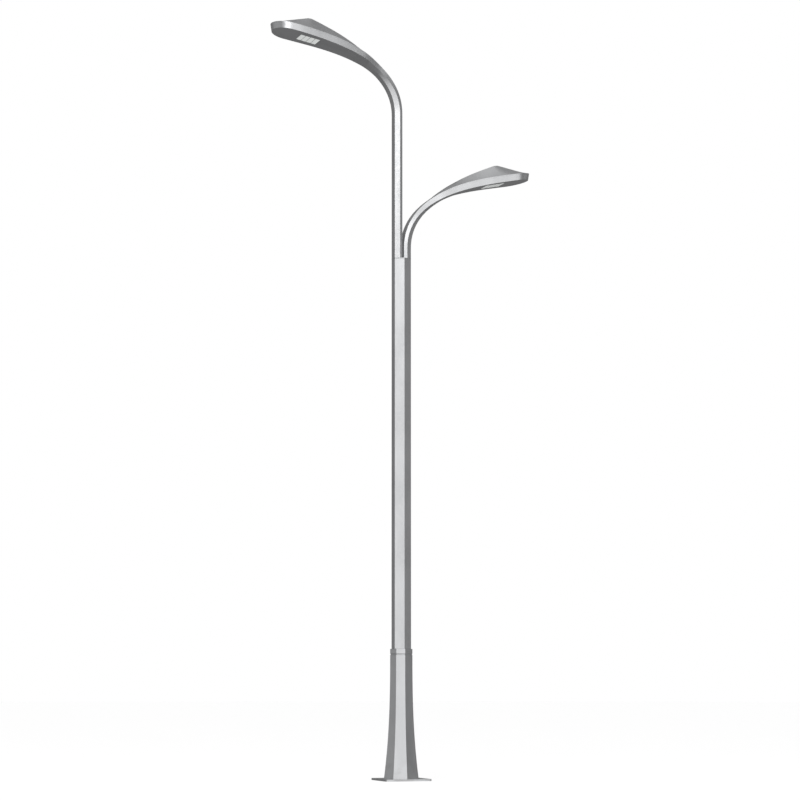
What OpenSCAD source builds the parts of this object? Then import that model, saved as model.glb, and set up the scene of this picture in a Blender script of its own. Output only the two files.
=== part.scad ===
// Twin-arm LED street light: a hexagonal shaft on an octagonal flared base, with
// two swept arms at two heights, each lofted into a slim lantern head.
// The origin is the centre of the base plate's underside, +Z is up and the arms
// reach along +X (the short one) and -X (the tall one).

/* [Base] */
// Side of the square base plate
plate_side = 500; // [440:5:620]
// Thickness of the base plate
plate_thick = 20; // [12:1:30]
// Corner radius of the base plate
plate_corner = 20; // [8:1:30]
// Distance between neighbouring anchor holes
anchor_pitch = 400; // [370:5:420]
// Diameter of the anchor holes
anchor_hole_d = 28; // [20:1:36]
// Diameter of the cable entry in the base plate
entry_d = 120; // [80:5:160]
// Height of the flared skirt's top edge above the ground
skirt_top = 1300; // [1150:5:1600]
// Corner radius of the octagonal skirt at its top
skirt_top_r = 123.4; // [118:0.2:135]
// How far the skirt's corners flare out at the plate
skirt_flare = 68; // [40:1:90]
// How sharply the flare gathers towards the plate
flare_power = 2.6; // [2:0.1:4]
// Wall of the skirt
skirt_wall = 5; // [4:0.5:7]
// Height of the groove under the collar
groove_h = 12; // [6:1:16]
// Depth of the groove under the collar
groove_depth = 5; // [2:0.2:5]
// Height of the collar band
collar_h = 51; // [30:1:80]

/* [Shaft] */
// Corner radius of the hexagonal shaft
shaft_r = 104.5; // [96:0.5:108]
// Wall of the shaft
shaft_wall = 5; // [4:0.5:7]
// Height of the shaft's top, cap included
shaft_top = 5500; // [4500:10:6500]
// How far the shaft reaches down inside the skirt
shaft_sunk = 200; // [150:5:260]
// Thickness of the cap plate
cap_thick = 8; // [6:1:12]

/* [Arms] */
// Straight stretch of the short arm above the cap
short_rise = 110; // [100:5:400]
// Straight stretch of the tall arm above the cap
tall_rise = 1555; // [1100:5:1900]
// Gap between each arm's inner face and the middle of the shaft
arm_gap = 9.2; // [6:0.2:14]
// Wall of the arm tubes
arm_wall = 4; // [3:0.5:5]
// Horizontal distance from the shaft to the tip of a head
tip_reach = 1455; // [1350:5:1600]
// Height of a head's tip above the start of the bend
tip_rise = 824; // [780:2:900]
// Slope of the underside at the tip
tip_angle = 10.7; // [8:0.1:14]
// Horizontal distance from the shaft to the neck
neck_reach = 486; // [450:2:540]
// Height of the neck above the start of the bend
neck_rise = 583; // [560:1:620]
// Slope of the arm at the neck
neck_angle = 24.6; // [20:0.1:30]

/* [Lantern heads] */
// Half width of a head at its widest
head_half = 204; // [190:1:230]
// Height of the side rims
rim_h = 72; // [66:1:84]
// Height of the roof above the rims at its peak
roof_h = 136; // [110:1:150]
// Half width of the flat top at the roof's peak
roof_half = 90; // [70:1:100]
// Length of the rounded nose
nose_len = 175; // [150:1:200]
// Wall of the housing and of the canopy
head_wall = 4; // [3:0.5:5]
// How far the canopy's edge turns down over the rim
lid_lip = 10; // [8:1:14]
// Length of the LED window along the head
window_len = 222; // [180:1:230]
// Width of the LED window
window_wid = 198; // [150:1:210]
// Number of lens panels in the window
panels = 4; // [2:1:6]
// Width of the bars between the lens panels
bar_w = 4; // [3:0.5:6]

/* [Access door] */
// Height of the middle of the door above the ground
door_z = 720; // [620:5:820]
// Width of the clear opening
door_open_w = 66; // [56:1:70]
// Height of the clear opening
door_open_h = 380; // [300:5:420]
// Width of the frame's flange
door_border = 9; // [7:0.5:10]
// Thickness of the door plate
door_thick = 5; // [3:0.5:6]

/* [Hidden] */
HEAD_PIECES = ["housing", "canopy", "canopy_gasket", "hinge_pin", "cover_screw",
               "lens_frame", "lens_panels", "led_boards", "heat_sink", "gear_tray",
               "driver", "surge_protector", "terminal_block", "cable_gland"];

// Colours
paint = [0.72, 0.73, 0.75];
dark_metal = [0.35, 0.36, 0.38];
bare_metal = [0.80, 0.81, 0.82];
rubber = [0.10, 0.10, 0.11];
black_plastic = [0.16, 0.16, 0.18];
pale_plastic = [0.88, 0.88, 0.86];
lens = [0.93, 0.94, 0.92];
board_white = [0.85, 0.87, 0.88];
brass = [0.78, 0.66, 0.36];

// Clearances
split = 0.4;        // between pieces of two moving bodies
seat = 0.2;         // between fixed pieces that stand beside each other
run_fit = 0.05;     // radial, round a pin that turns

// ---------- Cross-section shared by the shaft and the arms ----------
flat_r = shaft_r * cos(30);              // to the flats that face +X and -X
flat_half = shaft_r / 2;                 // half width of those flats
tube_deep = flat_r - arm_gap;            // tube size along X
tube_out = 0.614 * tube_deep;            // from the widest line to the outer flat
tube_in = tube_deep - tube_out;          // from the widest line to the inner flat
apex_x = flat_r - tube_out;              // distance of the widest line from the axis
tube_half = (shaft_r * 2 - apex_x * 2 / sqrt(3)) / 2 - 0.2;
inner_half = tube_half - tube_in / sqrt(3);
outer_ratio = flat_half / tube_half;
inner_pinch = 1 - inner_half / tube_half;

// ---------- Spine: the widest line of an arm, in the plane Y = 0 ----------
bend_pull = 298;     // handle of the curve at the foot of the bend
neck_pull_in = 256;  // handles on both sides of the neck
neck_pull_out = 303;
tip_pull = 326;      // handle at the tip
nose_lean = 9.5;     // forward lean of the nose
under_reach = tip_reach - rim_h * tan(nose_lean);
roof_lean = 19;      // backward lean of the roof's crease

function ray(a) = [cos(a), sin(a)];
foot_pt = [apex_x, 0];
neck_pt = [neck_reach, neck_rise];
tip_pt = [under_reach, tip_rise];
bend_curve = [foot_pt, foot_pt + [0, bend_pull],
              neck_pt - neck_pull_in * ray(neck_angle), neck_pt];
head_curve = [neck_pt, neck_pt + neck_pull_out * ray(neck_angle),
              tip_pt - tip_pull * ray(tip_angle), tip_pt];
function bezier(c, t) =
    (1 - t) ^ 3 * c[0] + 3 * (1 - t) ^ 2 * t * c[1] + 3 * (1 - t) * t ^ 2 * c[2] + t ^ 3 * c[3];
function tangent(c, t) =
    (1 - t) ^ 2 * (c[1] - c[0]) + 2 * (1 - t) * t * (c[2] - c[1]) + t ^ 2 * (c[3] - c[2]);
// q runs from 0 at the foot of the bend, through 1 at the neck, to 2 at the tip
function spine(q) = q < 1 ? bezier(bend_curve, q) : bezier(head_curve, q - 1);
function slope(q) =
    let (d = q < 1 ? tangent(bend_curve, q) : tangent(head_curve, q - 1)) atan2(d[1], d[0]);
// Millimetres of head per unit of q
function speed(q) = 3 * norm(tangent(head_curve, q - 1));

// ---------- Laws of the loft ----------
neck_run = 0.46;     // share of the flare that lies before the neck
nose_start = under_reach - nose_len;
function clamp(v) = min(1, max(0, v));
function ease(v) = let (c = clamp(v)) c * c * (3 - 2 * c);
function mix(a, b, v) = a + (b - a) * v;
function run(q) = q < 1 ? neck_run * max(0, q)
    : neck_run + (1 - neck_run) * (spine(q)[0] - neck_reach) / (nose_start - neck_reach);
neck_swell = 42;     // widening at the neck
peak_run = 0.884;    // where the roof peaks
roof_start = 0.38;   // where the roof begins to rise
// Steady widening that dies away from the share a on, so that the sides run smoothly into the nose
fade_from = 0.74;
function widen(u, a = fade_from) = let (v = max(0, u - a) / (1 - a))
    (min(u, a) + (1 - a) * (v - v * v / 2)) / ((1 + a) / 2);
function width(x) = tube_half + neck_swell * ease((x - 0.28) / 0.18)
    + (head_half - tube_half - neck_swell) * widen(clamp((x - 0.37) / 0.63));
function rim(x) = mix(tube_in, rim_h, ease(x / 0.7));
function belly(x) = tube_out * (1 - ease(x / 0.68));
function rim_width(x) = width(x) * (1 - inner_pinch * (1 - clamp(x)) ^ 2);
tail_run = run(2);
function roof(x) = x < peak_run ? roof_h * clamp((x - roof_start) / (peak_run - roof_start))
    : mix(roof_h, 3, (x - peak_run) / (tail_run - peak_run));
function top_half(x) = x < 0.5 ? inner_half
    : x < peak_run ? mix(inner_half, roof_half, (x - 0.5) / (peak_run - 0.5))
    : mix(roof_half, 0.68 * roof_half, (x - peak_run) / (1 - peak_run));
// Narrowing of the rounded nose, for an outline drawn in by inset
function nose(q, inset) = let (e = (spine(q)[0] - nose_start) / (nose_len - inset))
    e <= 0 ? 1 : sqrt(max(0.0004, 1 - e * e));
function lean(q) = let (a = slope(q)) q < 1 ? a + 90
    : mix(neck_angle + 90, 90 - nose_lean, clamp((run(q) - neck_run) / (tail_run - neck_run)));

// A point n above the spine and y to the side, with roof the height over the rim
function place(q, n, y, up = 0) =
    let (s = spine(q), v = s + n * ray(lean(q)) + up * ray(90 + roof_lean)) [v[0], y, v[1]];

// Stations along the spine
head_rings = 22;
nose_rings = 14;
nose_q = 2 - nose_len / (3 * tip_pull * cos(tip_angle)) * 1.015;
function tip_q(inset) = 2 - inset / (3 * tip_pull * cos(tip_angle));
function stations(q0, inset) = concat(
    [for (i = [0 : head_rings - 1]) mix(q0, nose_q, i / head_rings)],
    [for (i = [0 : nose_rings]) mix(nose_q, tip_q(inset), sin(84 * i / nose_rings))]);

// Whole outer section
function whole_ring(q, inset = 0) =
    let (x = run(q), k = nose(q, inset), w = (width(x) - inset) * k,
         i = (rim_width(x) - inset) * k, t = min(top_half(x) - inset * 0.6, i * 0.9) * min(1, k * 1.2),
         o = outer_ratio * (width(x) - inset) * k,
         low = -belly(x) + inset, h = rim(x), g = roof(x))
    [place(q, low, -o), place(q, low, o), place(q, max(0, low), w), place(q, h, i),
     place(q, h - inset, t, g), place(q, h - inset, -t, g), place(q, h, -i),
     place(q, max(0, low), -w)];

// Slab between two heights above the spine, drawn in by inset
function slab_ring(q, inset, n0, n1) =
    let (x = run(q), k = nose(q, inset), a = (rim_width(x) - inset) * k)
    [place(q, rim(x) + n0, -a), place(q, rim(x) + n0, a),
     place(q, rim(x) + n1, a), place(q, rim(x) + n1, -a)];

// Solid skinned over a list of closed sections
function middle(ring) = [for (p = ring) 1] * ring / len(ring);
module skin(rings) {
    m = len(rings[0]);
    n = len(rings);
    sides = [for (i = [0 : n - 2], j = [0 : m - 1], h = [0, 1])
        let (a = i * m + j, b = i * m + (j + 1) % m, c = a + m, d = b + m)
        h == 0 ? [a, d, b] : [a, c, d]];
    start_cap = [for (j = [0 : m - 1]) [n * m, j, (j + 1) % m]];
    end_cap = [for (j = [0 : m - 1]) [n * m + 1, (n - 1) * m + (j + 1) % m, (n - 1) * m + j]];
    polyhedron(points = concat([for (r = rings) each r], [middle(rings[0]), middle(rings[n - 1])]),
               faces = concat(sides, start_cap, end_cap));
}

// ---------- Placing ----------
short_foot = shaft_top + short_rise;
tall_foot = shaft_top + tall_rise;
module short_side() translate([0, 0, short_foot]) children();
module tall_side() mirror([1, 0, 0]) translate([0, 0, tall_foot]) children();
// Local frame on the underside at station q: X along the head, Z up through it
module on_spine(q) translate([spine(q)[0], 0, spine(q)[1]]) rotate([0, -slope(q), 0]) children();
module bar_along_x(r, x0, x1)
    translate([x0, 0, 0]) rotate([0, 90, 0]) cylinder(r = r, h = x1 - x0, $fn = 48);
module bar_along_y(r, y0, y1)
    translate([0, y0, 0]) rotate([-90, 0, 0]) cylinder(r = r, h = y1 - y0, $fn = 48);
module block(x, y, z) translate([-x / 2, -y / 2, 0]) cube([x, y, z]);

// ---------- Base ----------
flare_foot = plate_thick;
function skirt_r(z) = skirt_top_r + skirt_flare * ((skirt_top - z) / (skirt_top - flare_foot)) ^ flare_power;
function octagon(r, z) = [for (k = [0 : 7]) [r * cos(45 * k), r * sin(45 * k), z]];
flare_rings = 14;
function flare_level(i) = skirt_top - (skirt_top - flare_foot) * (i / flare_rings) ^ 0.8;
face_half = 22.5;
skirt_wall_r = skirt_wall / cos(face_half);

module base_plate() color(paint) difference() {
    union() {
        block(plate_side, plate_side - 2 * plate_corner, plate_thick);
        block(plate_side - 2 * plate_corner, plate_side, plate_thick);
        for (sx = [-1, 1], sy = [-1, 1])
            translate([sx, sy, 0] * (plate_side / 2 - plate_corner))
                cylinder(r = plate_corner, h = plate_thick, $fn = 48);
    }
    translate([0, 0, -1]) cylinder(d = entry_d, h = plate_thick + 2, $fn = 96);
    for (sx = [-1, 1], sy = [-1, 1]) translate([sx * anchor_pitch / 2, sy * anchor_pitch / 2, -1])
        cylinder(d = anchor_hole_d, h = plate_thick + 2, $fn = 48);
}

module base_skirt() color(paint) difference() {
    skin([for (i = [flare_rings : -1 : 0]) octagon(skirt_r(flare_level(i)), flare_level(i))]);
    skin([for (i = [flare_rings : -1 : 0])
        let (z = flare_level(i), past = i == 0 ? 1 : i == flare_rings ? -1 : 0)
        octagon(skirt_r(z) - skirt_wall_r, z + past)]);
    at_door() translate([0, 0, -frame_h / 2 - seat]) block(frame_w + 2 * seat, 80, frame_h + 2 * seat);
}

collar_z = skirt_top + groove_h;
collar_top = collar_z + collar_h;
module skirt_collar() color(paint) difference() {
    union() {
        translate([0, 0, skirt_top]) cylinder(r = skirt_top_r - groove_depth, h = groove_h, $fn = 8);
        translate([0, 0, collar_z]) cylinder(r = skirt_top_r, h = collar_h, $fn = 8);
    }
    translate([0, 0, skirt_top - 1]) hexagon(shaft_r + seat, groove_h + collar_h + 2);
}

seat_z = collar_top - shaft_sunk;
seat_thick = 12;
module shaft_seat() color(dark_metal) difference() {
    translate([0, 0, seat_z - seat_thick])
        cylinder(r = skirt_r(seat_z) - skirt_wall_r - 0.1, h = seat_thick, $fn = 8);
    translate([0, 0, seat_z - seat_thick - 1]) cylinder(r = 70, h = seat_thick + 2, $fn = 96);
}

// ---------- Shaft ----------
// Hexagonal prism with flats facing +X and -X
module hexagon(r, h) rotate([0, 0, 30]) cylinder(r = r, h = h, $fn = 6);

bolt_r = 6;
bolt_levels = [-110, -50];
// Bolt places on the two faces turned away from the street, one row for each arm
module at_arm_bolts() for (a = [60, 120], dz = bolt_levels)
    translate([0, 0, shaft_top - cap_thick + dz]) rotate([0, 0, a]) translate([flat_r, 0, 0])
        rotate([0, 90, 0]) children();

module shaft() color(paint) difference() {
    translate([0, 0, seat_z]) hexagon(shaft_r, shaft_top - cap_thick - seat_z);
    translate([0, 0, seat_z - 1]) hexagon(shaft_r - shaft_wall / cos(30), shaft_top - seat_z);
    at_arm_bolts() translate([0, 0, -20]) cylinder(r = bolt_r + 0.3, h = 40, $fn = 32);
}

spigot_down = 160;
spigot_up = 90;
spigot_wall = 6;
// Six-sided section of a tube at the foot of an arm, drawn in by inset
function foot_section(inset) =
    let (o = flat_half - inset * 0.6, a = tube_half - inset * 1.15, i = inner_half - inset * 0.6)
    [[flat_r - inset, -o], [flat_r - inset, o], [apex_x, a], [arm_gap + inset, i],
     [arm_gap + inset, -i], [apex_x, -a]];
module foot_prism(inset, h) linear_extrude(height = h) polygon(foot_section(inset));

module shaft_cap() color(paint) difference() {
    translate([0, 0, shaft_top - cap_thick]) hexagon(shaft_r, cap_thick);
    for (s = [0, 1]) mirror([s, 0, 0]) translate([0, 0, shaft_top - cap_thick - 1])
        foot_prism(spigot_inset - seat, cap_thick + 2);
}

spigot_inset = max(arm_wall, shaft_wall) + 0.6;
module arm_spigot() difference() {
    translate([0, 0, shaft_top - spigot_down]) foot_prism(spigot_inset, spigot_down + spigot_up);
    translate([0, 0, shaft_top - spigot_down - 1])
        foot_prism(spigot_inset + spigot_wall, spigot_down + spigot_up + 2);
}
module short_arm_spigot() color(dark_metal) difference() {
    arm_spigot();
    at_arm_bolts() translate([0, 0, -40]) cylinder(r = bolt_r + 0.1, h = 60, $fn = 32);
}
module tall_arm_spigot() color(dark_metal) mirror([1, 0, 0]) difference() {
    arm_spigot();
    at_arm_bolts() translate([0, 0, -40]) cylinder(r = bolt_r + 0.1, h = 60, $fn = 32);
}
module arm_bolts() color(bare_metal) at_arm_bolts() {
    translate([0, 0, -22]) cylinder(r = bolt_r, h = 22, $fn = 32);
    cylinder(r = 11, h = 8, $fn = 6);
}

// ---------- Arms ----------
arm_end = 0.86;      // station where the arm gives way to the head's neck
arm_rings = 22;
function lowered(ring, d) = [for (p = ring) p - [0, 0, d]];
// Bore of the tube: six corners, drawn in by the wall
function bore_ring(q, inset) =
    let (x = run(q), w = width(x) - inset * 1.15, i = rim_width(x) - inset * 0.6,
         o = outer_ratio * width(x) - inset * 0.6, h = rim(x) - inset)
    [place(q, inset - belly(x), -o), place(q, inset - belly(x), o), place(q, 0, w),
     place(q, h, i), place(q, h, -i), place(q, 0, -w)];
module swept_arm(rise) difference() {
    skin(concat([lowered(whole_ring(0), rise)],
        [for (i = [0 : arm_rings]) whole_ring(arm_end * i / arm_rings)]));
    skin(concat([lowered(bore_ring(0, arm_wall), rise + 1)],
        [for (i = [0 : arm_rings]) bore_ring(arm_end * i / arm_rings, arm_wall)],
        [bore_ring(arm_end + 0.01, arm_wall)]));
}
module short_arm() color(paint) short_side() swept_arm(short_rise);
module tall_arm() color(paint) tall_side() swept_arm(tall_rise);

// ---------- Lantern head ----------
hinge_r = 10;
pin_r = 4;
hinge_deep = 12;
hinge_half = 50;
knuckle_half = 18;
hinge_at = place(1, rim(neck_run), 0, roof(neck_run) - hinge_deep);
module on_hinge() translate(hinge_at) rotate([0, -slope(1), 0]) children();

land = 10;           // width of the rim's land under the gasket
land_deep = 16;
part_n = -lid_lip - split;

// Straight passage for the cable, from the arm through the neck into the pan
passage_q = 0.93;
passage_n = 11;
passage_r = 13;
passage_tilt = 4;
pan_q = 1.035;       // station of the pan's end wall
module on_passage() on_spine(passage_q) translate([0, 0, passage_n]) rotate([0, -passage_tilt, 0]) children();
module passage() on_passage() bar_along_x(passage_r, -190, 110);

// Space inside the pan below and at the land
function pan_ring(q, inset, n0, n1) =
    let (x = run(q), k = nose(q, inset), w = (width(x) - inset) * k, i = (rim_width(x) - inset) * k)
    [place(q, n0, -w), place(q, n0, w), place(q, n1, i), place(q, n1, -i)];

win_q = 1.6;
module window_hole() on_spine(win_q)
    translate([0, 0, -15]) block(window_len + 2 * seat, window_wid + 2 * seat, 40);

screw_q = 1.9;
screw_r = 5;
keeper_drop = 30;
// Frame of the canopy's quarter-turn screw: Z up through the flat top
screw_at = place(screw_q, rim(run(screw_q)), 0, roof(run(screw_q)));
roof_fall = let (a = place(1.8, rim(run(1.8)), 0, roof(run(1.8))), b = place(1.96, rim(run(1.96)), 0, roof(run(1.96))))
    atan2(b[2] - a[2], b[0] - a[0]);
module on_screw() translate(screw_at) rotate([0, -roof_fall, 0]) children();

module housing() difference() {
    union() {
        difference() {
            skin(concat([for (i = [0 : 5]) whole_ring(mix(arm_end, 1, i / 6))],
                        [for (q = stations(1, 0)) whole_ring(q)]));
            // everything above the parting line
            skin([for (q = stations(1, -40)) slab_ring(q, -40, part_n, 400)]);
            // pan below the land, then the narrower mouth
            skin([for (q = stations(pan_q, head_wall))
                pan_ring(q, head_wall, head_wall, rim(run(q)) + part_n - land_deep)]);
            skin([for (q = stations(1.07, land)) let (h = rim(run(q)))
                pan_ring(q, land, h + part_n - land_deep - 1, h + 60)]);
            // groove for the gasket
            gasket_loop(0.1);
            // pocket behind the hinge
            on_hinge() bar_along_y(hinge_deep + 0.8, -100, 100);
        }
        // spigot that enters the arm
        skin(concat([for (i = [arm_rings - 2 : arm_rings]) bore_ring(arm_end * i / arm_rings, arm_wall + 0.3)],
                    [bore_ring(arm_end + 0.01, arm_wall + 0.3)]));
        // fixed knuckles with their webs
        for (s = [-1, 1]) on_hinge() translate([0, s * (hinge_half + knuckle_half + split) / 2, 0]) {
            bar_along_y(hinge_r, -knuckle_len / 2, knuckle_len / 2);
            translate([-9.5, 0, -8]) block(9, knuckle_len, 14);
        }
        on_screw() keeper();
    }
    passage();
    window_hole();
    on_hinge() bar_along_y(pin_r + run_fit, -100, 100);
}
knuckle_len = hinge_half - knuckle_half - split;

gasket_wide = 4;
gasket_in = 3;
gasket_tall = 3;
module gasket_loop(grow) difference() {
    skin([for (q = stations(1.035, gasket_in - grow))
        slab_ring(q, gasket_in - grow, part_n - gasket_tall - grow, part_n + (grow > 0 ? 1 : 0))]);
    skin([for (q = stations(1.045, gasket_in + gasket_wide + grow))
        slab_ring(q, gasket_in + gasket_wide + grow, part_n - gasket_tall - 5, part_n + 5)]);
}
module canopy_gasket() gasket_loop(0);

// Slotted bridge that the screw's bar drops through and turns under
keeper_w = 44;
keeper_len = 66;
keeper_z = -keeper_drop - 6;
keeper_posts = [1.844, 1.908];
// A point just inside the floor at station q, in the screw's frame
function floor_under_screw(q) =
    let (v = spine(q) + head_wall / 2 * ray(lean(q)) - [screw_at[0], screw_at[2]])
    [v * ray(roof_fall), v * ray(roof_fall + 90)];
module keeper() {
    difference() {
        translate([0, 0, keeper_z]) block(keeper_len, keeper_w, 4);
        translate([0, 0, keeper_z - 1]) block(44, 2 * screw_r + 1.4, 6);
    }
    for (q = keeper_posts) let (f = floor_under_screw(q))
        translate([f[0], 0, f[1]]) block(5, keeper_w, keeper_z + 2 - f[1]);
}

// One side of the roof's section, in even steps, because the roof twists as it falls to the nose
roof_steps = 4;
function roof_side(a, b) = [for (i = [0 : roof_steps]) mix(a, b, i / roof_steps)];

// Canopy: closed section above the parting line
function lid_ring(q) =
    let (x = run(q), k = nose(q, 0), h = rim(x), i = rim_width(x) * k,
         low = mix(rim_width(x), width(x), lid_lip / h) * k,
         t = min(top_half(x), i * 0.9) * min(1, k * 1.2), g = roof(x))
    concat([place(q, h - lid_lip, -low), place(q, h - lid_lip, low)],
           roof_side(place(q, h, i), place(q, h, t, g)),
           roof_side(place(q, h, -t, g), place(q, h, -i)));
function lid_hollow(q) =
    let (x = run(q), k = nose(q, land), h = rim(x), i = (rim_width(x) - land) * k,
         t = min(top_half(x) - 3, i * 0.9) * min(1, k * 1.2), g = roof(x) - head_wall)
    concat([place(q, h - lid_lip - 20, -i), place(q, h - lid_lip - 20, i)],
           roof_side(place(q, h - head_wall, i), place(q, h - 1, t, g)),
           roof_side(place(q, h - 1, -t, g), place(q, h - head_wall, -i)));
lid_q = 1 + split / (3 * neck_pull_out);
module canopy() difference() {
    union() {
        difference() {
            skin([for (q = stations(lid_q, 0)) lid_ring(q)]);
            skin([for (q = stations(1.07, land)) lid_hollow(q)]);
            // room for the fixed knuckles and their webs
            for (s = [-1, 1]) on_hinge()
                translate([-4, s * (hinge_half + knuckle_half) / 2, -14])
                    block(30, hinge_half - knuckle_half + 2 * split, 60);
        }
        on_hinge() {
            bar_along_y(hinge_r, -knuckle_half, knuckle_half);
            translate([8, 0, -hinge_r]) block(16, 2 * knuckle_half, hinge_r + 6);
        }
        on_screw() translate([0, 0, -14]) cylinder(r = 14, h = 12, $fn = 48);
    }
    on_hinge() bar_along_y(pin_r + run_fit, -60, 60);
    on_screw() {
        translate([0, 0, -40]) cylinder(r = screw_r + run_fit, h = 80, $fn = 48);
        translate([0, 0, -4.2]) cylinder(r = 11.3, h = 20, $fn = 48);
    }
}
module hinge_pin() on_hinge() bar_along_y(pin_r, -hinge_half, hinge_half);

// Quarter-turn screw: slotted head, stem and cross bar that drops through the keeper
module cover_screw() on_screw() {
    difference() {
        translate([0, 0, -4]) cylinder(r = 11, h = 4.5, $fn = 48);
        translate([0, 0, -1.2]) block(30, 2.4, 4);
    }
    translate([0, 0, -keeper_drop - 14]) cylinder(r = screw_r, h = keeper_drop + 12, $fn = 48);
    translate([0, 0, -keeper_drop - 12]) block(24, 7, 5);
}

// ---------- Light engine ----------
panel_len = (window_len - (panels + 1) * bar_w) / panels;
panel_wid = window_wid - 2 * bar_w;
function panel_x(i) = -window_len / 2 + bar_w + panel_len / 2 + i * (panel_len + bar_w);
flange = 8;
frame_base = head_wall + 0.3;
board_z = 11;
board_thick = 2;
module lens_frame() on_spine(win_q) difference() {
    union() {
        translate([0, 0, -0.5]) block(window_len, window_wid, 8);
        translate([0, 0, frame_base]) block(window_len + 2 * flange, window_wid + 2 * flange, 7.5 - frame_base);
    }
    for (i = [0 : panels - 1]) translate([panel_x(i), 0, -3]) block(panel_len, panel_wid, 20);
}
module lens_panels() on_spine(win_q) for (i = [0 : panels - 1]) translate([panel_x(i), 0, 0])
    block(panel_len - 2 * seat, panel_wid - 2 * seat, 7);
chip_rows = 6;
module led_boards() on_spine(win_q) for (i = [0 : panels - 1]) translate([panel_x(i), 0, 0]) {
    translate([0, 0, board_z]) block(panel_len - 2, panel_wid - 6, board_thick);
    for (sx = [-1, 1], k = [0 : chip_rows - 1])
        translate([sx * panel_len / 4, (k - (chip_rows - 1) / 2) * 28, board_z - 2.5])
            cylinder(r = 4, h = 3, $fn = 24);
}
leg_r = 6;
leg_in = 8;          // from a leg's middle to the edge of the plate that it carries
sink_z = board_z + board_thick + 0.1;
sink_len = window_len + 2 * (flange + leg_r + leg_in + 0.5);   // its legs stand clear of the frame
sink_wid = window_wid + 30;
fins = 13;
// Height of the pan's floor over the local frame at q0, at the station q1
function floor_at(q0, q1) =
    let (v = spine(q1) + head_wall * ray(lean(q1)) - spine(q0))
    [v * ray(slope(q0)), v * ray(slope(q0) + 90)];
foot_lift = 0.5;
// Legs from the pan's floor up under the corners of a plate that stands at q0
module legs(q0, len, wid, top) for (e = [-1, 1], s = [-1, 1])
    let (x = e * (len / 2 - leg_in), foot = floor_at(q0, q0 + x / speed(q0))[1] + foot_lift)
    translate([x, s * (wid / 2 - leg_in), foot]) cylinder(r = leg_r, h = top - foot, $fn = 32);
module heat_sink() on_spine(win_q) {
    translate([0, 0, sink_z]) block(sink_len, sink_wid, 6);
    for (k = [0 : fins - 1]) translate([0, (k - (fins - 1) / 2) * (sink_wid - 4) / (fins - 1), sink_z + 6])
        block(sink_len, 3, 30);
    legs(win_q, sink_len, sink_wid, sink_z + 1);
}

// ---------- Control gear ----------
tray_q = 1.26;
tray_z = 16;
tray_len = 220;
tray_wid = 190;
module gear_tray() on_spine(tray_q) {
    translate([0, 0, tray_z]) block(tray_len, tray_wid, 2);
    legs(tray_q, tray_len, tray_wid, tray_z + 1);
}
on_tray = tray_z + 2;
module driver() on_spine(tray_q) translate([12, 34, on_tray]) {
    block(170, 66, 36);
    block(190, 30, 3);
}
module surge_protector() on_spine(tray_q) translate([40, -38, on_tray]) {
    block(64, 44, 28);
    translate([0, 0, 28]) cylinder(r = 5, h = 2, $fn = 32);
}
terminal_x = -64;
module terminal_block() on_spine(tray_q) translate([terminal_x, block_y, on_tray]) difference() {
    block(30, 72, 22);
    for (k = [-2 : 2]) translate([0, k * 13, 15]) cylinder(r = 4, h = 10, $fn = 24);
}
cable_r = 6;
flange_r = passage_r + 2;
// Where the flange meets the pan's leaning end wall, along the passage
gland_face = let (a = slope(passage_q) + passage_tilt, wall_lean = lean(pan_q) - 90 - a,
                  v = spine(pan_q) - spine(passage_q) - passage_n * ray(slope(passage_q) + 90))
    v * ray(a) + v * ray(a + 90) * tan(wall_lean) + flange_r * abs(tan(wall_lean)) + seat;
module cable_gland() on_passage() difference() {
    union() {
        bar_along_x(passage_r - 0.1, gland_face - 34, gland_face);
        translate([gland_face, 0, 0]) rotate([0, 90, 0]) cylinder(r = flange_r, h = 8, $fn = 6);
    }
    bar_along_x(cable_r + 0.6, gland_face - 40, gland_face + 10);
}

module head(piece) {
    if (piece == 0) color(paint) housing();
    if (piece == 1) color(paint) canopy();
    if (piece == 2) color(rubber) canopy_gasket();
    if (piece == 3) color(bare_metal) hinge_pin();
    if (piece == 4) color(bare_metal) cover_screw();
    if (piece == 5) color(dark_metal) lens_frame();
    if (piece == 6) color(lens) lens_panels();
    if (piece == 7) color(board_white) led_boards();
    if (piece == 8) color(dark_metal) heat_sink();
    if (piece == 9) color(bare_metal) gear_tray();
    if (piece == 10) color(black_plastic) driver();
    if (piece == 11) color(pale_plastic) surge_protector();
    if (piece == 12) color(pale_plastic) terminal_block();
    if (piece == 13) color(black_plastic) cable_gland();
}

// ---------- Access door, on the face turned away from the street ----------
frame_w = door_open_w + 2 * door_border;
frame_h = door_open_h + 2 * door_border;
function apothem(z) = skirt_r(z) * cos(face_half);
door_tilt = atan((apothem(door_z - frame_h / 2) - apothem(door_z + frame_h / 2)) / frame_h);
door_face = (apothem(door_z - frame_h / 2) + apothem(door_z + frame_h / 2)) / 2;
// X across the door, Y outwards, Z up the door
module at_door() rotate([0, 0, -face_half]) translate([0, door_face, door_z])
    rotate([door_tilt, 0, 0]) children();
module slab(x, y0, y1, z0, z1) translate([-x / 2, y0, z0]) cube([x, y1 - y0, z1 - z0]);

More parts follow.
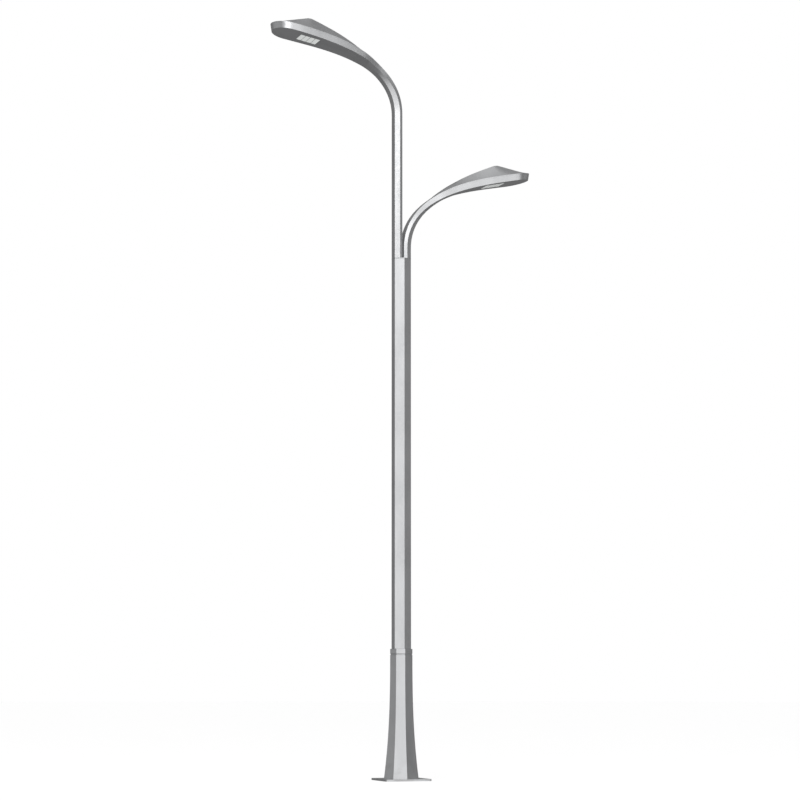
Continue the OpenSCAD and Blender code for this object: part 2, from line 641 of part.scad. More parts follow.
frame_back = -14;
frame_front = 4;
seal_thick = 2;
door_back = frame_front + seal_thick + split;
door_front = door_back + door_thick;
door_pin_r = 3;
barrel_r = 5.5;
hinge_x = -frame_w / 2 - barrel_r - 1;
hinge_y = door_back + door_thick / 2;
module frame_hole(grow = 0) slab(door_open_w + 2 * grow, -60, 60, -door_open_h / 2 - grow, door_open_h / 2 + grow);
barrel_len = 26;
barrel_levels = [-130, 130];
module door_frame() color(paint) at_door() difference() {
    union() {
        slab(frame_w, frame_back, frame_front, -frame_h / 2, frame_h / 2);
        for (z = barrel_levels, s = [-1, 1]) translate([0, 0, z + s * barrel_len]) {
            translate([hinge_x, hinge_y, -barrel_len / 2 + 0.3]) cylinder(r = barrel_r, h = barrel_len - 0.6, $fn = 48);
            translate([hinge_x - 1, frame_front - 4, -barrel_len / 2 + 0.3])
                cube([8, hinge_y - frame_front + 1, barrel_len - 0.6]);
        }
    }
    frame_hole();
    translate([hinge_x, hinge_y, -200]) cylinder(r = door_pin_r + run_fit, h = 400, $fn = 48);
}
module door_gasket() color(rubber) at_door() difference() {
    slab(frame_w - 4, frame_front, frame_front + seal_thick, -frame_h / 2 + 2, frame_h / 2 - 2);
    frame_hole(2);
}
module door_hinge_pin() color(bare_metal) at_door() for (z = barrel_levels)
    translate([hinge_x, hinge_y, z - 1.5 * barrel_len]) cylinder(r = door_pin_r, h = 3 * barrel_len, $fn = 48);
lock_x = door_open_w / 2 - 13;
lock_r = 9;
module access_door() color(paint) at_door() difference() {
    union() {
        slab(frame_w, door_back, door_front, -frame_h / 2, frame_h / 2);
        for (z = barrel_levels) translate([0, 0, z - barrel_len / 2 + 0.3]) {
            translate([hinge_x, hinge_y, 0]) cylinder(r = barrel_r, h = barrel_len - 0.6, $fn = 48);
            translate([hinge_x, door_back, 0]) cube([barrel_r + 6, door_thick, barrel_len - 0.6]);
        }
    }
    for (z = barrel_levels) translate([hinge_x, hinge_y, z - 60])
        cylinder(r = door_pin_r + run_fit, h = 120, $fn = 48);
    translate([lock_x, door_back - 1, 0]) rotate([-90, 0, 0]) cylinder(r = lock_r + run_fit, h = 30, $fn = 48);
}
tongue_back = frame_back - 5;
module door_lock() color(bare_metal) at_door() translate([lock_x, 0, 0]) {
    difference() {
        translate([0, frame_back - 1, 0]) rotate([-90, 0, 0]) cylinder(r = lock_r, h = door_front + 2 - frame_back + 1, $fn = 48);
        translate([0, door_front - 1, 0]) rotate([-90, 0, 0]) cylinder(r = 4.5, h = 10, $fn = 3);
    }
    translate([-7, tongue_back, -29]) cube([14, 4.2, 38]);
}

// ---------- Wiring compartment ----------
rail_back = -78;
rail_w = 58;
rail_top = door_open_h / 2 + 6;
cable_x = 13;
cable_y = -52;
module gear_rail() color(bare_metal) at_door() difference() {
    union() {
        slab(rail_w, rail_back, rail_back + 3, -rail_top, rail_top);
        for (s = [0, 1]) mirror([0, 0, s]) slab(rail_w, rail_back, frame_back - 0.1, rail_top - 3, rail_top);
    }
    for (s = [-1, 1]) translate([s * cable_x, cable_y, rail_top - 20]) cylinder(r = cable_r + 1, h = 40, $fn = 32);
}
box_back = rail_back + 3.1;
box_front = -30;
box_top = 120;
lever_y = box_front - 3;
lever_x = 13;
lever_z = 60;
lever_w = 12;
axle_r = 2.5;
hub_r = 8;
module lever_slot(x) translate([x, lever_y, lever_z]) {
    translate([-lever_w / 2 - split, -hub_r - 1, -14]) cube([lever_w + 2 * split, 40, 28]);
    bar_along_x(axle_r + run_fit, -lever_w / 2 - 4, lever_w / 2 + 4);
}
module fuse_box() color(black_plastic) at_door() difference() {
    slab(54, box_back, box_front, 0, box_top);
    for (s = [-1, 1]) lever_slot(s * lever_x);
}
module breaker_lever(x) color(pale_plastic) at_door() translate([x, lever_y, lever_z]) {
    bar_along_x(hub_r, -lever_w / 2, lever_w / 2);
    bar_along_x(axle_r, -lever_w / 2 - 3.5, lever_w / 2 + 3.5);
    rotate([-25, 0, 0]) translate([-4, -3, -3]) cube([8, 18, 6]);
}
module tall_breaker_lever() breaker_lever(-lever_x);
module short_breaker_lever() breaker_lever(lever_x);
module supply_terminals() color(pale_plastic) at_door() difference() {
    slab(52, box_back, -44, -90, -40);
    for (k = [-1.5 : 1.5], z = [-78, -52]) translate([k * 12, -50, z]) rotate([-90, 0, 0]) cylinder(r = 3.5, h = 20, $fn = 24);
}
module earth_stud() color(brass) rotate([0, 0, 112]) translate([130, 0, plate_thick]) {
    cylinder(r = 5, h = 36, $fn = 32);
    cylinder(r = 10, h = 9, $fn = 6);
}

// ---------- Riser cables ----------
function unit(v) = v / norm(v);
function hoop(p, d, r) = let (u = unit(cross([0, 1, 0.02], d)), v = unit(cross(d, u)))
    [for (k = [0 : 7]) p + r * (cos(45 * k) * u + sin(45 * k) * v)];
module tube(path, r) {
    n = len(path);
    skin([for (i = [0 : n - 1])
        let (d = unit(path[min(n - 1, i + 1)] - path[max(0, i - 1)])) hoop(path[i], d, r)]);
}
// Middle of a cable inside an arm, low in the bore at first, then up to the passage
cable_low = -10;
cable_high = 13;
cable_q = [0.02, 0.06, 0.1, 0.15, 0.2, 0.26, 0.32, 0.38, 0.44, 0.5, 0.56, 0.62, 0.7];
function cable_point(q) = place(q, mix(cable_low, cable_high, clamp((q - 0.44) / 0.26)), 0);
// A point x along the axis of the passage
function passage_point(x) =
    let (a = slope(passage_q), s = spine(passage_q) + passage_n * ray(a + 90) + x * ray(a + passage_tilt))
    [s[0], 0, s[1]];
// A point in the frame of the gear tray
function tray_point(x, y, z) =
    let (a = slope(tray_q), s = spine(tray_q) + x * ray(a) + z * ray(a + 90)) [s[0], y, s[1]];
block_y = -40;
block_end = terminal_x - 15.1;
upper_run = concat([for (q = cable_q) cable_point(q)],
    [passage_point(-140), passage_point(-100), passage_point(60), passage_point(gland_face + 12),
     tray_point(-150, -12, 28), tray_point(-118, -33, 29), tray_point(-98, block_y, 29),
     tray_point(block_end, block_y, 29)]);
// A point in the frame of the access door
function door_point(x, y, z) =
    let (r = door_face + cos(door_tilt) * y - sin(door_tilt) * z, a = 90 - face_half)
    [r * cos(a) + x * sin(a), r * sin(a) - x * cos(a), door_z + sin(door_tilt) * y + cos(door_tilt) * z];
// The lower stretch, from the fuse box up through the rail's end and the shaft
function lower_run(side) = [
    door_point(side * cable_x, cable_y, box_top + 0.1), door_point(side * cable_x, cable_y, box_top + 30),
    door_point(side * cable_x, cable_y, rail_top + 8), [side * 26, 40, 1010], [side * 28, 14, 1090],
    [side * 30, 0, 1180], [side * 34, 0, 1400],
    [side * 48, 0, shaft_top - 300], [side * 50, 0, shaft_top - 100]];
short_path = concat(lower_run(1), [for (p = upper_run) p + [0, 0, short_foot]]);
tall_path = concat([for (p = lower_run(-1)) [-p[0], p[1], p[2]]], [for (p = upper_run) p + [0, 0, tall_foot]]);
module short_riser_cable() color(rubber) tube(short_path, cable_r);
module tall_riser_cable() color(rubber) mirror([1, 0, 0]) tube(tall_path, cable_r);

base_plate();
base_skirt();
skirt_collar();
shaft_seat();
shaft();
shaft_cap();
tall_arm();
short_arm();
tall_arm_spigot();
short_arm_spigot();
arm_bolts();
door_frame();
door_gasket();
door_hinge_pin();
access_door();
door_lock();
gear_rail();
fuse_box();
tall_breaker_lever();
short_breaker_lever();
supply_terminals();
earth_stud();
tall_riser_cable();
short_riser_cable();
for (i = [0 : len(HEAD_PIECES) - 1]) {
    tall_side() head(i);
    short_side() head(i);
}
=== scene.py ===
import math

import bmesh
import bpy
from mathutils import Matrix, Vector


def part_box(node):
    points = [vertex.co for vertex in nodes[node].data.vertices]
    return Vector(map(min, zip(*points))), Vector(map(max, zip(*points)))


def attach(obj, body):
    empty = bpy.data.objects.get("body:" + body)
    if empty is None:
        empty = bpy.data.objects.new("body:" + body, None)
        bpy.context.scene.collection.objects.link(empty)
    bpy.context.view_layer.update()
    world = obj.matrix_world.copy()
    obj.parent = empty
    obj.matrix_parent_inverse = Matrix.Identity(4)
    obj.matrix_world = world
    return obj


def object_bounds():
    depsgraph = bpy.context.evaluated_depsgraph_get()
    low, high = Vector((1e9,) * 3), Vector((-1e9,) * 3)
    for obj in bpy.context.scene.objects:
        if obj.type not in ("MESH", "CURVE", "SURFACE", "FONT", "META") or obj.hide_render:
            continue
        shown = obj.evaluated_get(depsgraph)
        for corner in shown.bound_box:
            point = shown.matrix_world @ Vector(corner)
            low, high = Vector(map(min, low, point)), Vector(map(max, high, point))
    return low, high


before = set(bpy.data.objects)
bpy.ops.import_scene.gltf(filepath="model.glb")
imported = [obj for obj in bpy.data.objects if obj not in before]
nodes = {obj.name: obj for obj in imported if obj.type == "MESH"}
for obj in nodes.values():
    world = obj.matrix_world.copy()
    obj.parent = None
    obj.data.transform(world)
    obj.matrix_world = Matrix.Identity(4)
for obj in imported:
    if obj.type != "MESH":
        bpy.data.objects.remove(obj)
CAD_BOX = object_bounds()
HEADS = ("tall", "short")


def kind_of(node):
    """A node's name without the head it belongs to."""
    for head in HEADS:
        node = node.replace(head + "_", "")
    return node


def heading(azimuth, elevation):
    """Unit vector towards an azimuth from +X and a height above level, both in degrees."""
    a, e = math.radians(azimuth), math.radians(elevation)
    return Vector((math.cos(a) * math.cos(e), math.sin(a) * math.cos(e), math.sin(e)))


# ---------------------------------------------------------------- materials
class Surface:
    """A principled material with helpers for procedural detail, in the object's own metres."""

    def __init__(self, name, metallic=0.0, roughness=None, **sockets):
        self.mat = bpy.data.materials.new(name)
        self.mat.use_nodes = True
        self.tree = self.mat.node_tree
        self.tree.nodes.clear()
        self.out = self.tree.nodes.new("ShaderNodeOutputMaterial")
        self.bsdf = self.tree.nodes.new("ShaderNodeBsdfPrincipled")
        self.link(self.bsdf.outputs[0], self.out.inputs[0])
        self.bsdf.inputs["Metallic"].default_value = metallic
        if roughness is not None:
            self.bsdf.inputs["Roughness"].default_value = roughness
        for key, value in sockets.items():
            self.bsdf.inputs[key.replace("_", " ")].default_value = value
        self.coord = self.tree.nodes.new("ShaderNodeTexCoord").outputs["Object"]

    def link(self, a, b):
        self.tree.links.new(a, b)

    def noise(self, scale, detail=4.0, stretch=(1, 1, 1), rough=0.55, seed=0.0):
        """Noise of so many waves a metre, stretched by axis and moved by a seed."""
        m = self.tree.nodes.new("ShaderNodeMapping")
        m.inputs["Scale"].default_value = stretch
        m.inputs["Location"].default_value = (seed, seed * 0.7, seed * 0.3)
        self.link(self.coord, m.inputs["Vector"])
        n = self.tree.nodes.new("ShaderNodeTexNoise")
        n.inputs["Scale"].default_value = scale
        n.inputs["Detail"].default_value = detail
        n.inputs["Roughness"].default_value = rough
        self.link(m.outputs[0], n.inputs["Vector"])
        return n.outputs["Fac"]

    def remap(self, value, low, high, to_low=0.0, to_high=1.0):
        """Takes low..high to to_low..to_high on a smooth step."""
        n = self.tree.nodes.new("ShaderNodeMapRange")
        n.interpolation_type = "SMOOTHSTEP"
        for i, v in ((1, low), (2, high), (3, to_low), (4, to_high)):
            n.inputs[i].default_value = v
        self.link(value, n.inputs[0])
        return n.outputs[0]

    def math(self, kind, a, b):
        n = self.tree.nodes.new("ShaderNodeMath")
        n.operation = kind
        for i, v in enumerate((a, b)):
            if isinstance(v, (int, float)):
                n.inputs[i].default_value = v
            else:
                self.link(v, n.inputs[i])
        return n.outputs[0]

    def mix(self, factor, a, b):
        n = self.tree.nodes.new("ShaderNodeMix")
        n.data_type = "RGBA"
        self.link(factor, n.inputs[0])
        for i, v in ((6, a), (7, b)):
            if isinstance(v, tuple):
                n.inputs[i].default_value = (*v, 1)
            else:
                self.link(v, n.inputs[i])
        return n.outputs[2]

    def height(self):
        n = self.tree.nodes.new("ShaderNodeSeparateXYZ")
        self.link(self.coord, n.inputs[0])
        return n.outputs["Z"]

    def edges(self, low=0.52, high=0.6):
        """1 along outer edges, 0 on flats."""
        n = self.tree.nodes.new("ShaderNodeNewGeometry")
        return self.remap(n.outputs["Pointiness"], low, high)

    def colour(self, value):
        self.link(value, self.bsdf.inputs["Base Color"])

    def roughness(self, value):
        self.link(value, self.bsdf.inputs["Roughness"])

    def bump(self, value, depth, strength=1.0):
        n = self.tree.nodes.new("ShaderNodeBump")
        n.inputs["Distance"].default_value = depth
        n.inputs["Strength"].default_value = strength
        self.link(value, n.inputs["Height"])
        self.link(n.outputs[0], self.bsdf.inputs["Normal"])


DUST_TOP = 0.34           # metres above the ground that splashed dust reaches


def silver_paint(name, tone, seed, ground=False):
    """Satin metallic coat: cloudy flake, orange peel, faint streaks and rubbed edges."""
    s = Surface(name, metallic=0.86, Specular_IOR_Level=0.5, Coat_Weight=0.12, Coat_Roughness=0.22)
    pale = tuple(min(1.0, t * 1.05) for t in tone)
    dim = tuple(t * 0.93 for t in tone)
    clouds = s.remap(s.noise(3.0, 5, (1, 1, 0.5), seed=seed), 0.35, 0.65)
    base = s.mix(clouds, dim, pale)
    streaks = s.remap(s.noise(1.0, 6, (42, 42, 0.9), seed=seed + 4), 0.56, 0.78, 0.0, 0.20)
    base = s.mix(streaks, base, tuple(t * 0.80 for t in tone))
    flake = s.remap(s.noise(1400, 2, seed=seed), 0.35, 0.7, 0.0, 0.16)
    base = s.mix(flake, base, tuple(min(1.0, t * 1.12) for t in tone))
    worn = s.math("MULTIPLY", s.edges(), s.remap(s.noise(26, 5, seed=seed + 9), 0.42, 0.68))
    base = s.mix(worn, base, (0.86, 0.86, 0.87))
    rough = s.remap(s.noise(9, 5, (1, 1, 0.4), seed=seed + 2), 0.3, 0.7, 0.30, 0.39)
    if ground:
        low = s.remap(s.height(), 0.0, DUST_TOP, 1.0, 0.0)
        patches = s.remap(s.noise(14, 7, seed=seed + 6), 0.40, 0.72, 0.0, 0.20)
        dust = s.math("MULTIPLY", low, patches)
        base = s.mix(dust, base, (0.33, 0.31, 0.28))
        rough = s.math("ADD", rough, s.math("MULTIPLY", dust, 0.35))
    s.colour(base)
    s.roughness(rough)
    s.bump(s.noise(420, 3, seed=seed), 0.00035, 0.5)
    return s.mat


def bare_metal(name, tone, rough_low, rough_high, grain, seed):
    """Bare metal with fine directional grain, blotches and brighter rubbed edges."""
    s = Surface(name, metallic=1.0)
    blot = s.remap(s.noise(22, 6, seed=seed), 0.3, 0.7)
    base = s.mix(blot, tuple(t * 0.86 for t in tone), tuple(min(1.0, t * 1.06) for t in tone))
    base = s.mix(s.edges(0.53, 0.64), base, tuple(min(1.0, t * 1.25) for t in tone))
    s.colour(base)
    s.roughness(s.remap(s.noise(30, 4, grain, seed=seed + 1), 0.3, 0.7, rough_low, rough_high))
    s.bump(s.noise(300, 3, grain, seed=seed + 2), 0.00015, 0.5)
    return s.mat


def plastic(name, tone, rough, seed, grain=900.0):
    """Moulded plastic or rubber: fine texture, faint dust and a slight sheen change."""
    s = Surface(name, Specular_IOR_Level=0.45)
    dust = s.remap(s.noise(30, 6, seed=seed), 0.45, 0.8, 0.0, 0.16)
    s.colour(s.mix(dust, tone, tuple(t * 0.6 + 0.16 for t in tone)))
    s.roughness(s.remap(s.noise(60, 4, seed=seed + 3), 0.3, 0.7, rough - 0.06, rough + 0.08))
    s.bump(s.noise(grain, 2, seed=seed), 0.0001, 0.6)
    return s.mat


def lens_material():
    """Frosted cover over the LEDs: softly lit and slightly cloudy."""
    s = Surface("frosted_lens", Specular_IOR_Level=0.6, Coat_Weight=0.35, Coat_Roughness=0.08,
                Emission_Strength=0.50)
    cloud = s.remap(s.noise(60, 3, seed=2), 0.3, 0.7)
    tone = s.mix(cloud, (0.80, 0.83, 0.82), (0.88, 0.90, 0.89))
    s.colour(tone)
    s.link(s.mix(cloud, (0.88, 0.93, 0.92), (1.0, 1.0, 0.97)), s.bsdf.inputs["Emission Color"])
    s.roughness(s.remap(s.noise(200, 3, seed=8), 0.3, 0.7, 0.22, 0.34))
    s.bump(s.noise(700, 2, seed=5), 0.0001, 0.5)
    return s.mat


def chip_material():
    """White solder mask with its chips, faintly lit."""
    s = Surface("led_board_mask", Specular_IOR_Level=0.5, Emission_Strength=0.10)
    mask = s.remap(s.noise(120, 4, seed=3), 0.4, 0.7)
    s.colour(s.mix(mask, (0.80, 0.82, 0.80), (0.88, 0.88, 0.86)))
    s.bsdf.inputs["Emission Color"].default_value = (1.0, 0.97, 0.9, 1)
    s.roughness(s.remap(s.noise(80, 3, seed=6), 0.3, 0.7, 0.36, 0.5))
    s.bump(s.noise(600, 2, seed=6), 0.0001, 0.5)
    return s.mat


SILVER = (0.80, 0.81, 0.825)
MATS = {
    "base": silver_paint("column_paint_base", SILVER, 1.0, ground=True),
    "shaft": silver_paint("column_paint_shaft", SILVER, 3.0),
    "arm": silver_paint("arm_paint", SILVER, 5.0),
    "head": silver_paint("head_paint", SILVER, 7.0),
    "zinc": bare_metal("galvanised_steel", (0.56, 0.57, 0.59), 0.38, 0.56, (1, 1, 1), 1),
    "steel": bare_metal("stainless_steel", (0.66, 0.66, 0.67), 0.22, 0.36, (1, 1, 8), 2),
    "alu": bare_metal("bare_aluminium", (0.72, 0.73, 0.74), 0.32, 0.48, (6, 1, 1), 3),
    "brass": bare_metal("earth_brass", (0.72, 0.55, 0.25), 0.28, 0.42, (1, 1, 4), 4),
    "grey": silver_paint("frame_grey_paint", (0.36, 0.37, 0.39), 9.0),
    "seal": plastic("seal_rubber", (0.035, 0.035, 0.04), 0.72, 1),
    "sheath": plastic("cable_sheath", (0.045, 0.045, 0.05), 0.58, 2),
    "black": plastic("black_plastic", (0.05, 0.05, 0.055), 0.46, 3),
    "white": plastic("white_plastic", (0.76, 0.76, 0.73), 0.42, 4),
    "lens": lens_material(),
    "board": chip_material(),
}


def material_of(kind):
    return MATS[{
        "base_plate": "base", "base_skirt": "base", "skirt_collar": "base", "shaft": "shaft",
        "shaft_cap": "shaft", "arm": "arm", "door_frame": "base", "access_door": "base",
        "housing": "head", "canopy": "head", "shaft_seat": "zinc", "arm_spigot": "zinc",
        "gear_rail": "zinc", "gear_tray": "zinc", "arm_bolts": "steel", "door_hinge_pin": "steel",
        "door_lock": "steel", "hinge_pin": "steel", "cover_screw": "steel", "heat_sink": "alu",
        "earth_stud": "brass", "lens_frame": "grey", "door_gasket": "seal", "canopy_gasket": "seal",
        "riser_cable": "sheath", "fuse_box": "black", "driver": "black", "cable_gland": "black",
        "breaker_lever": "white", "supply_terminals": "white", "surge_protector": "white",
        "terminal_block": "white", "lens_panels": "lens", "led_boards": "board",
    }[kind]]


# ---------------------------------------------------------------- edges and shading
# Edge rounding of each kind of CAD piece, in metres
ROUNDING = {
    "base_plate": 0.0025, "base_skirt": 0.003, "skirt_collar": 0.003, "shaft": 0.004,
    "shaft_cap": 0.0015, "arm": 0.004, "housing": 0.0012, "canopy": 0.0015, "door_frame": 0.0008,
    "access_door": 0.0012, "arm_bolts": 0.0008, "lens_frame": 0.0006, "lens_panels": 0.0008,
    "driver": 0.002, "surge_protector": 0.0015, "terminal_block": 0.001, "fuse_box": 0.0015,
    "breaker_lever": 0.0008, "supply_terminals": 0.001, "cover_screw": 0.0004,
    "door_lock": 0.0005, "gear_tray": 0.0004, "gear_rail": 0.0005, "cable_gland": 0.0005,
    "earth_stud": 0.0005, "heat_sink": 0.0004,
}
PLAIN_ROUNDING = 0.0003   # metres, for every other piece
# Swept pieces, whose facets follow a curve and so aren't joined into planes
LOFTED = ("arm", "housing", "canopy", "canopy_gasket", "base_skirt", "riser_cable")
WELD_GAP = 0.00002        # metres, corners closer than this are one corner
FLAT_WITHIN = 0.4         # degrees, facets closer than this are one plane
SHARP_FROM = 24           # degrees, edges sharper than this are rounded
CANOPY_SHARP_FROM = 34    # degrees, the same for the canopy's twisted roof
FACE_WEIGHT = 60          # how far large faces lead the shading

ROOF_LEAN = 19            # degrees that the roof's fold leans back, as in the CAD
FOLD_BEHIND_PEAK = 0.03   # metres, corners this near the peak aren't the fold
FOLD_HEIGHT = 0.13        # metres that the fold may run down from its top
FOLD_SLACK = 0.001        # metres
FOLD_WITHIN = 0.002       # metres that a corner may lie off the fold's line


def mark_fold(mesh):
    """Keeps the fold sharp where the canopy's roof begins to turn down towards the nose."""
    points = [v.co for v in mesh.vertices]
    peak = max(points, key=lambda c: c.z)
    behind = (c for c in points if abs(c.x) < abs(peak.x) - FOLD_BEHIND_PEAK)
    fold = max(behind, key=lambda c: c.z)
    lean = math.tan(math.radians(ROOF_LEAN))

    def on_fold(c):
        drop = fold.z - c.z
        off_line = abs(c.x) - abs(fold.x) - lean * drop
        return 0 <= drop + FOLD_SLACK < FOLD_HEIGHT and abs(off_line) < FOLD_WITHIN

    sharp = mesh.attributes.get("sharp_edge")
    sharp = sharp or mesh.attributes.new("sharp_edge", "BOOLEAN", "EDGE")
    for edge in mesh.edges:
        if all(on_fold(points[i]) for i in edge.vertices):
            sharp.data[edge.index].value = True


def finish_node(name):
    """Joins the node's split facets, rounds its sharp edges and shades its curves smoothly."""
    obj = nodes[name]
    mesh = obj.data
    kind = kind_of(name)
    if "custom_normal" in mesh.attributes:
        mesh.attributes.remove(mesh.attributes["custom_normal"])
    mesh.materials.clear()
    mesh.materials.append(material_of(kind))
    mesh.polygons.foreach_set("use_smooth", [True] * len(mesh.polygons))
    mesh.update()
    if kind == "canopy":
        mark_fold(mesh)
    weld = obj.modifiers.new("join", "WELD")
    weld.merge_threshold = WELD_GAP
    if kind not in LOFTED:
        flat = obj.modifiers.new("planes", "DECIMATE")
        flat.decimate_type = "DISSOLVE"
        flat.angle_limit = math.radians(FLAT_WITHIN)
    bevel = obj.modifiers.new("edges", "BEVEL")
    bevel.width = ROUNDING.get(kind, PLAIN_ROUNDING)
    bevel.segments = 2
    bevel.limit_method = "ANGLE"
    bevel.angle_limit = math.radians(CANOPY_SHARP_FROM if kind == "canopy" else SHARP_FROM)
    bevel.use_clamp_overlap = True
    bevel.harden_normals = True
    normals = obj.modifiers.new("normals", "WEIGHTED_NORMAL")
    normals.keep_sharp = True
    normals.weight = FACE_WEIGHT


for name in nodes:
    finish_node(name)


# ---------------------------------------------------------------- welds and seals
BEAD_STEP = 0.004         # metres between the rings of a bead
BEAD_SIDES = 8
LEVEL_WITHIN = 0.0005     # metres that a corner may lie off its level


def outline(node, level):
    """Corners of a node's outer outline at a level, seen from above, in order round it."""
    bm = bmesh.new()
    for v in nodes[node].data.vertices:
        if abs(v.co.z - level) < LEVEL_WITHIN:
            bm.verts.new((v.co.x, v.co.y, 0))
    hull = bmesh.ops.convex_hull(bm, input=bm.verts)["geom"]
    corners = {v for v in hull if isinstance(v, bmesh.types.BMVert)}
    mid = sum((v.co for v in corners), Vector()) / len(corners)
    ring = [v.co.copy() for v in corners]
    ring.sort(key=lambda c: math.atan2(c.y - mid.y, c.x - mid.x))
    bm.free()
    return [Vector((c.x, c.y, level)) for c in ring]


def bead(name, corners, radius, mat, ripple=0.0):
    """A weld or sealant bead laid along a closed outline, with an uneven, rippled back."""
    path = []
    for i, a in enumerate(corners):
        b = corners[(i + 1) % len(corners)]
        steps = max(2, round((b - a).length / BEAD_STEP))
        path += [a.lerp(b, k / steps) for k in range(steps)]
    mid = sum(path, Vector()) / len(path)
    turns = [math.tau * k / BEAD_SIDES for k in range(BEAD_SIDES)]
    bm = bmesh.new()
    rings = []
    for i, p in enumerate(path):
        out = p - mid
        out.z = 0
        out.normalize()
        wave = 0.6 * math.sin(i * 1.9) + 0.4 * math.sin(i * 0.37 + 1.3)
        r = radius * (1 + ripple * wave)
        rings.append([
            bm.verts.new(p + out * (r * math.cos(t)) + Vector((0, 0, r * math.sin(t))))
            for t in turns])
    for ring, after in zip(rings, rings[1:] + rings[:1]):
        for k in range(BEAD_SIDES):
            j = (k + 1) % BEAD_SIDES
            bm.faces.new((ring[k], ring[j], after[j], after[k]))
    bmesh.ops.recalc_face_normals(bm, faces=bm.faces)
    mesh = bpy.data.meshes.new(name)
    bm.to_mesh(mesh)
    bm.free()
    mesh.materials.append(mat)
    mesh.polygons.foreach_set("use_smooth", [True] * len(mesh.polygons))
    obj = bpy.data.objects.new(name, mesh)
    bpy.context.scene.collection.objects.link(obj)
    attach(obj, "pole")


plate_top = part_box("base_plate")[1].z
collar_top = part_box("skirt_collar")[1].z
shaft_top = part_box("shaft")[1].z
cap_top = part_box("shaft_cap")[1].z
shaft_ring = outline("shaft", shaft_top)
seal_ring = [Vector((c.x, c.y, collar_top)) for c in shaft_ring]
foot_ring = outline("base_skirt", plate_top)
# Name, path, radius in metres, material, ripple
bead("skirt_weld", foot_ring, 0.0035, MATS["base"], ripple=0.16)
bead("collar_seal", seal_ring, 0.0018, MATS["seal"])
bead("cap_weld", shaft_ring, 0.0016, MATS["shaft"], ripple=0.12)
for side in HEADS:
    arm_ring = outline(side + "_arm", cap_top)
    bead(side + "_arm_weld", arm_ring, 0.0022, MATS["arm"], ripple=0.14)


# ---------------------------------------------------------------- floor, light, camera
SURROUND = 0.16           # strength of the even surround
# Soft lights in the surround: azimuth, elevation, radius of full strength and of the fade's
# end, all in degrees, and strength
GLOWS = (
    (258, 6, 34, 56, 0.76),       # broad front, which lights the faces in view
    (160, 5, 12, 40, 0.15),       # left side
    (0, 5, 6, 22, 0.12),          # right side
    (90, 70, 20, 60, 0.10),       # high behind
    (250, 80, 6, 28, 0.30),       # overhead, which brightens the roofs before their fold
)


def sky():
    """Soft studio surround that shows the camera plain white."""
    world = bpy.data.worlds.new("studio")
    bpy.context.scene.world = world
    world.use_nodes = True
    tree = world.node_tree
    tree.nodes.clear()
    new, link = tree.nodes.new, tree.links.new
    out = new("ShaderNodeOutputWorld")
    coord = new("ShaderNodeTexCoord").outputs["Generated"]

    def value(kind, a, b):
        n = new("ShaderNodeMath")
        n.operation = kind
        for i, v in enumerate((a, b)):
            if isinstance(v, (int, float)):
                n.inputs[i].default_value = v
            else:
                link(v, n.inputs[i])
        return n.outputs[0]

    def glow(azimuth, elevation, full, fade, strength):
        n = new("ShaderNodeVectorMath")
        n.operation = "DOT_PRODUCT"
        link(coord, n.inputs[0])
        n.inputs[1].default_value = heading(azimuth, elevation)
        r = new("ShaderNodeMapRange")
        r.interpolation_type = "SMOOTHSTEP"
        outer, inner = math.cos(math.radians(fade)), math.cos(math.radians(full))
        for i, v in ((1, outer), (2, inner), (3, 0.0), (4, strength)):
            r.inputs[i].default_value = v
        link(n.outputs["Value"], r.inputs[0])
        return r.outputs[0]

    total = value("ADD", glow(*GLOWS[0]), SURROUND)
    for args in GLOWS[1:]:
        total = value("ADD", total, glow(*args))
    light = new("ShaderNodeBackground")
    link(total, light.inputs["Strength"])
    light.inputs["Color"].default_value = (1.0, 1.0, 1.0, 1)
    seen = new("ShaderNodeBackground")
    seen.inputs["Color"].default_value = (1, 1, 1, 1)
    seen.inputs["Strength"].default_value = 1.0
    path = new("ShaderNodeLightPath")
    mix = new("ShaderNodeMixShader")
    link(path.outputs["Is Camera Ray"], mix.inputs[0])
    link(light.outputs[0], mix.inputs[1])
    link(seen.outputs[0], mix.inputs[2])
    link(mix.outputs[0], out.inputs["Surface"])


FLOOR_RADIUS = 90         # metres
FLOOR_GAP = 0.001         # metres below the base plate


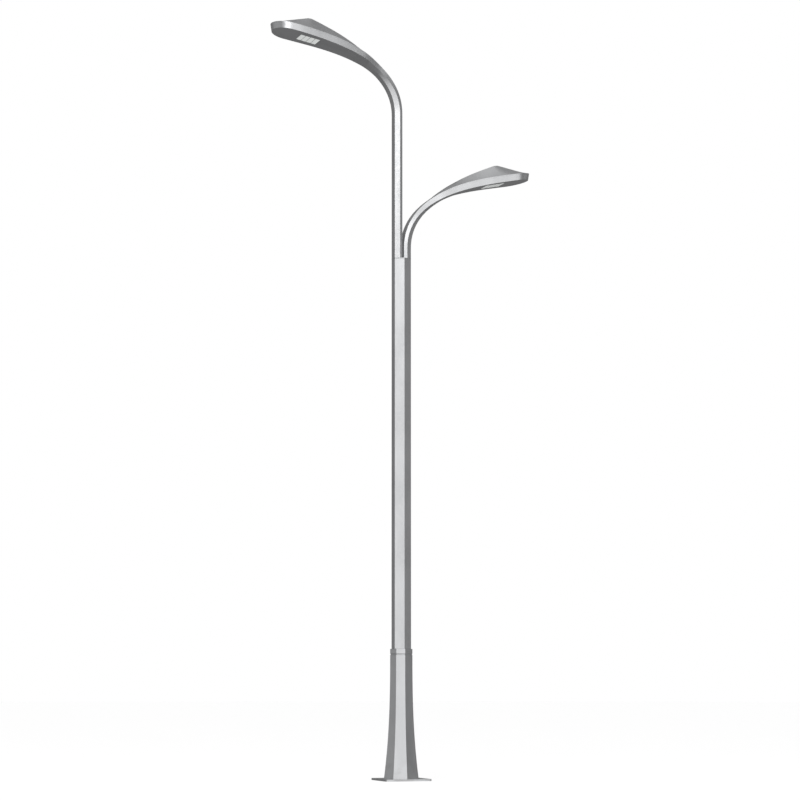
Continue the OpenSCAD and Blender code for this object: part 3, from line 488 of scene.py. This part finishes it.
def floor():
    """Pale matt disk that neither lights the object nor shows in its gloss."""
    mesh = bpy.data.meshes.new("floor")
    bm = bmesh.new()
    bmesh.ops.create_circle(bm, cap_ends=True, segments=96, radius=FLOOR_RADIUS)
    bm.to_mesh(mesh)
    bm.free()
    obj = bpy.data.objects.new("floor", mesh)
    bpy.context.scene.collection.objects.link(obj)
    obj.location = (0, 0, CAD_BOX[0].z - FLOOR_GAP)
    s = Surface("floor_matt", roughness=0.9, Emission_Strength=0.72)
    s.bsdf.inputs["Emission Color"].default_value = (1, 1, 1, 1)
    cloud = s.remap(s.noise(0.8, 3), 0.3, 0.7)
    s.colour(s.mix(cloud, (0.78, 0.78, 0.78), (0.80, 0.80, 0.80)))
    mesh.materials.append(s.mat)
    obj.visible_glossy = False
    obj.visible_diffuse = False


def lamp(name, azimuth, elevation, distance, size, power, target):
    """Disk lamp aimed at target, its size and distance in metres and its power in watts."""
    data = bpy.data.lights.new(name, "AREA")
    data.shape = "DISK"
    data.size = size
    data.energy = power
    obj = bpy.data.objects.new(name, data)
    bpy.context.scene.collection.objects.link(obj)
    way = heading(azimuth, elevation)
    obj.location = target + way * distance
    obj.rotation_mode = "QUATERNION"
    obj.rotation_quaternion = (-way).to_track_quat("-Z", "Y")
    obj.visible_camera = False


sky()
floor()
middle = (CAD_BOX[0] + CAD_BOX[1]) / 2
lamp("key", 238, 34, 16, 10.0, 260, middle)

BEARING = 18.97           # degrees the view is turned from straight along +Y
PLACE = 19.0              # degrees the camera stands round from -Y, seen from the column
TILT = 6.41               # degrees the view looks up
STAND_OFF = 26.12         # metres from the column to the camera
EYE = 1.053               # metres from the ground to the camera
LENS = 111.65             # mm
SENSOR = 36               # mm
FAR_CLIP = 500            # metres
camera = bpy.data.cameras.new("camera")
camera.lens = LENS
camera.sensor_width = SENSOR
camera.clip_end = FAR_CLIP
cam = bpy.data.objects.new("camera", camera)
bpy.context.scene.collection.objects.link(cam)
turn = math.radians(PLACE)
cam.location = (-STAND_OFF * math.sin(turn), -STAND_OFF * math.cos(turn), EYE)
cam.rotation_euler = (math.radians(90 + TILT), 0, -math.radians(BEARING))
bpy.context.scene.camera = cam
bpy.context.scene.view_settings.view_transform = "Standard"
